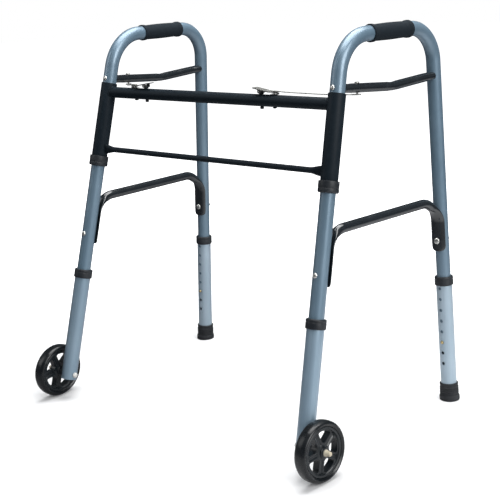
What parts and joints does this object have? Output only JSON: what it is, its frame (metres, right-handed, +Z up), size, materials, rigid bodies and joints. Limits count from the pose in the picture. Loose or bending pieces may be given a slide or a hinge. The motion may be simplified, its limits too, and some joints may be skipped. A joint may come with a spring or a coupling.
{
  "type": "walking frame",
  "caption": "Folding walking frame: two hinged side frames joined by crossbars, foam hand grips, front wheels, rubber-tipped rear legs and push-button height adjustment.",
  "frame": {"origin": "centre of the footprint on the floor, halfway between the two side frames and between the front and back of the bounding box", "axes": "+Z up; +X towards the side frame on the viewer's right when the walker is seen from its front; +Y towards the open side where the user stands; -Y towards the front, where the wheels are"},
  "size_m": [0.8796, 0.5926, 0.8686],
  "materials": {
    "blue_anodised": "satin blue-grey anodised tube",
    "pale_blue_anodised": "satin pale blue-grey anodised tube",
    "black_paint": "semi-gloss black powder coat",
    "black_alloy": "semi-gloss black powder coat over alloy",
    "grey_foam": "matte dark grey closed-cell foam",
    "black_plastic": "moulded black plastic",
    "satin_steel": "satin zinc-plated steel",
    "bright_steel": "bright zinc-plated steel",
    "brass": "pale brass",
    "ivory_plastic": "ivory cap over a steel bolt",
    "tyre_black": "semi-gloss solid black tyre",
    "black_rubber": "matte black rubber"
  },
  "bodies": {
    "front_frame": {"upper_crossbar": "black_paint", "lower_crossbar": "black_alloy", "pivot_sleeve_right": "black_paint", "hinge_post_right": "black_plastic", "lever_pin_right": "satin_steel", "leaf_spring_right": "black_paint", "spring_rivet_right": "black_paint", "pivot_sleeve_left": "black_paint", "hinge_post_left": "black_plastic", "lever_pin_left": "satin_steel", "leaf_spring_left": "black_paint", "spring_rivet_left": "black_paint"},
    "lever_right": {"release_paddle_right": "satin_steel", "lock_bar_right": "satin_steel"},
    "side_frame_right": {"side_tube_right": "blue_anodised", "hand_grip_right": "grey_foam", "upper_brace_right": "black_alloy", "lower_brace_right": "black_alloy", "upper_front_bolt_right": "bright_steel", "upper_rear_bolt_right": "bright_steel", "lower_front_bolt_right": "bright_steel", "lower_rear_bolt_right": "bright_steel", "latch_stud_right": "satin_steel", "sleeve_collar_right": "black_plastic"},
    "front_leg_right": {"front_extension_right": "pale_blue_anodised", "front_collar_right": "black_plastic", "axle_bolt_right": "ivory_plastic", "axle_spacer_right": "black_plastic"},
    "rear_leg_right": {"rear_extension_right": "pale_blue_anodised", "rear_collar_right": "black_plastic", "rubber_tip_right": "black_rubber"},
    "wheel_right": {"tyre_right": "tyre_black", "wheel_hub_right": "black_plastic"},
    "front_snap_right": {"front_snap_button_right": "brass"},
    "rear_snap_right": {"rear_snap_button_right": "brass"},
    "lever_left": {"release_paddle_left": "satin_steel", "lock_bar_left": "satin_steel"},
    "side_frame_left": {"side_tube_left": "blue_anodised", "hand_grip_left": "grey_foam", "upper_brace_left": "black_alloy", "lower_brace_left": "black_alloy", "upper_front_bolt_left": "bright_steel", "upper_rear_bolt_left": "bright_steel", "lower_front_bolt_left": "bright_steel", "lower_rear_bolt_left": "bright_steel", "latch_stud_left": "satin_steel", "sleeve_collar_left": "black_plastic"},
    "front_leg_left": {"front_extension_left": "pale_blue_anodised", "front_collar_left": "black_plastic", "axle_bolt_left": "ivory_plastic", "axle_spacer_left": "black_plastic"},
    "rear_leg_left": {"rear_extension_left": "pale_blue_anodised", "rear_collar_left": "black_plastic", "rubber_tip_left": "black_rubber"},
    "wheel_left": {"tyre_left": "tyre_black", "wheel_hub_left": "black_plastic"},
    "front_snap_left": {"front_snap_button_left": "brass"},
    "rear_snap_left": {"rear_snap_button_left": "brass"}
  },
  "joints": [
    {"name": "fold_right", "type": "hinge", "parent": "front_frame", "child": "side_frame_right", "pos_m": [0.34868, -0.09509, 0.565], "axis": [-0.0388, 0.2599, 0.9648], "range_deg": [0, 76]},
    {"name": "release_right", "type": "hinge", "parent": "front_frame", "child": "lever_right", "pos_m": [0.1455, -0.05317, 0.7383], "axis": [0, 1, 0], "range_deg": [0, 2.5], "stiffness_Nm_per_rad": 3, "springref_deg": -2.29, "deforming": ["leaf_spring_right"]},
    {"name": "front_height_right", "type": "slide", "parent": "side_frame_right", "child": "front_leg_right", "axis": [-0.0388, 0.2599, 0.9648], "range_m": [-0.127, 0.0508], "deforming": ["front_snap_button_right"]},
    {"name": "rear_height_right", "type": "slide", "parent": "side_frame_right", "child": "rear_leg_right", "axis": [-0.0534, 0.02, 0.9984], "range_m": [-0.127, 0.0508], "deforming": ["rear_snap_button_right"]},
    {"name": "front_snap_right", "type": "slide", "parent": "side_frame_right", "child": "front_snap_right", "axis": [-0.0651, -0.9642, 0.2571], "range_m": [0, 0.006], "stiffness_N_per_m": 1500, "springref_m": -0.003, "deforming": ["front_snap_button_right"]},
    {"name": "rear_snap_right", "type": "slide", "parent": "side_frame_right", "child": "rear_snap_right", "axis": [0.0538, 0.9984, -0.0171], "range_m": [0, 0.006], "stiffness_N_per_m": 1500, "springref_m": -0.003, "deforming": ["rear_snap_button_right"]},
    {"name": "wheel_spin_right", "type": "hinge", "parent": "front_leg_right", "child": "wheel_right", "pos_m": [0.40981, -0.23291, 0.0637], "axis": [0.9971, -0.0528, 0.0543], "continuous": true},
    {"name": "fold_left", "type": "hinge", "parent": "front_frame", "child": "side_frame_left", "pos_m": [-0.34868, -0.09509, 0.565], "axis": [-0.0388, -0.2599, -0.9648], "range_deg": [0, 84]},
    {"name": "release_left", "type": "hinge", "parent": "front_frame", "child": "lever_left", "pos_m": [-0.208, -0.05317, 0.7383], "axis": [0, -1, 0], "range_deg": [0, 3.5], "stiffness_Nm_per_rad": 3, "springref_deg": -2.29, "deforming": ["leaf_spring_left"]},
    {"name": "front_height_left", "type": "slide", "parent": "side_frame_left", "child": "front_leg_left", "axis": [0.0388, 0.2599, 0.9648], "range_m": [-0.127, 0.0508], "deforming": ["front_snap_button_left"]},
    {"name": "rear_height_left", "type": "slide", "parent": "side_frame_left", "child": "rear_leg_left", "axis": [0.0534, 0.02, 0.9984], "range_m": [-0.127, 0.0508], "deforming": ["rear_snap_button_left"]},
    {"name": "front_snap_left", "type": "slide", "parent": "side_frame_left", "child": "front_snap_left", "axis": [0.0651, -0.9642, 0.2571], "range_m": [0, 0.006], "stiffness_N_per_m": 1500, "springref_m": -0.003, "deforming": ["front_snap_button_left"]},
    {"name": "rear_snap_left", "type": "slide", "parent": "side_frame_left", "child": "rear_snap_left", "axis": [-0.0538, 0.9984, -0.0171], "range_m": [0, 0.006], "stiffness_N_per_m": 1500, "springref_m": -0.003, "deforming": ["rear_snap_button_left"]},
    {"name": "wheel_spin_left", "type": "hinge", "parent": "front_leg_left", "child": "wheel_left", "pos_m": [-0.40981, -0.23291, 0.0637], "axis": [-0.9971, -0.0528, 0.0543], "continuous": true}
  ]
}
